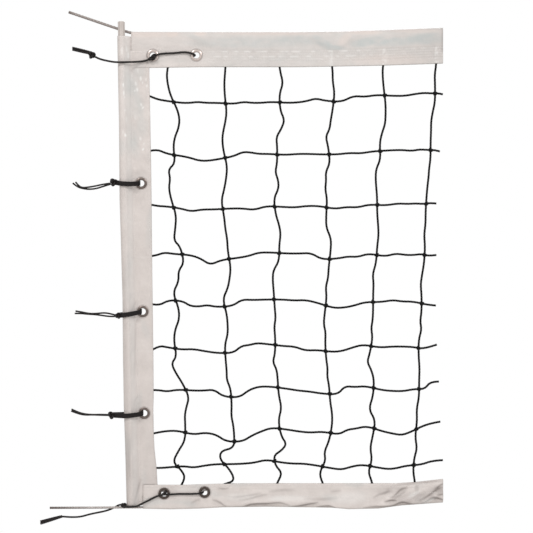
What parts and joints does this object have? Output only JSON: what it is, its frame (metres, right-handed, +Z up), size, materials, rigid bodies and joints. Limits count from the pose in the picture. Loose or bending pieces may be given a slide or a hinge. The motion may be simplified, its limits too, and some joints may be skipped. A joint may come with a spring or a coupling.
{
  "type": "volleyball net end section",
  "caption": "End section of a volleyball net: vinyl head, side and foot bands, knotted square mesh, dowel in a side pocket, head cable, foot rope and lashing ties.",
  "frame": {"origin": "free end of the head cable, on its axis, where the cable is made fast to the post", "axes": "+X along the net away from the post, +Y to the back, +Z up"},
  "size_m": [0.8082, 0.033, 1.0269],
  "materials": {
    "coated_tape": "glossy vinyl-coated tape",
    "mesh_twine": "twisted black twine",
    "tie_cord": "braided black cord",
    "wire_rope": "weathered steel wire rope",
    "rod_plastic": "pale resin rod",
    "eyelet_steel": "darkened steel"
  },
  "bodies": {
    "net": {"head_band": "coated_tape", "side_band": "coated_tape", "foot_band": "coated_tape", "eyelets": "eyelet_steel", "eyelet_washers": "eyelet_steel", "mesh_column_1": "mesh_twine", "mesh_column_2": "mesh_twine", "mesh_column_3": "mesh_twine", "mesh_column_4": "mesh_twine", "mesh_column_5": "mesh_twine", "mesh_column_6": "mesh_twine", "mesh_row_1": "mesh_twine", "mesh_row_2": "mesh_twine", "mesh_row_3": "mesh_twine", "mesh_row_4": "mesh_twine", "mesh_row_5": "mesh_twine", "mesh_row_6": "mesh_twine", "mesh_row_7": "mesh_twine", "mesh_row_8": "mesh_twine", "mesh_row_9": "mesh_twine", "mesh_knots": "mesh_twine", "head_tie": "tie_cord", "head_tie_knot": "tie_cord", "head_tie_end": "tie_cord", "head_tie_hitch": "tie_cord", "foot_tie": "tie_cord", "foot_tie_end": "tie_cord", "foot_tie_hitch": "tie_cord"},
    "dowel": {"dowel": "rod_plastic"},
    "head_cable": {"head_cable": "wire_rope"},
    "foot_rope": {"foot_rope": "wire_rope"},
    "side_tie_1": {"side_tie_1_wrap": "tie_cord", "side_tie_1_knot": "tie_cord", "side_tie_1_tail_1": "tie_cord", "side_tie_1_tail_2": "tie_cord"},
    "side_tie_2": {"side_tie_2_wrap": "tie_cord", "side_tie_2_knot": "tie_cord", "side_tie_2_tail_1": "tie_cord", "side_tie_2_tail_2": "tie_cord"},
    "side_tie_3": {"side_tie_3_wrap": "tie_cord", "side_tie_3_knot": "tie_cord", "side_tie_3_tail_1": "tie_cord", "side_tie_3_tail_2": "tie_cord"}
  },
  "joints": [
    {"name": "dowel_draw", "type": "slide", "parent": "net", "child": "dowel", "axis": [-0.0195, 0, 0.9998], "range_m": [0, 0.93]},
    {"name": "cable_draw", "type": "slide", "parent": "net", "child": "head_cable", "axis": [-1, 0, 0], "range_m": [0, 0.06]},
    {"name": "rope_draw", "type": "slide", "parent": "net", "child": "foot_rope", "axis": [-1, 0, 0], "range_m": [0, 0.06]},
    {"name": "side_tie_1_swing", "type": "hinge", "parent": "net", "child": "side_tie_1", "pos_m": [0.14512, -0.0015, -0.34275], "axis": [0, 1, 0], "range_deg": [-12, 12]},
    {"name": "side_tie_2_swing", "type": "hinge", "parent": "net", "child": "side_tie_2", "pos_m": [0.14811, -0.0015, -0.59893], "axis": [0, 1, 0], "range_deg": [-8, 12]},
    {"name": "side_tie_3_swing", "type": "hinge", "parent": "net", "child": "side_tie_3", "pos_m": [0.15107, -0.0015, -0.80212], "axis": [0, 1, 0], "range_deg": [-12, 12]}
  ]
}
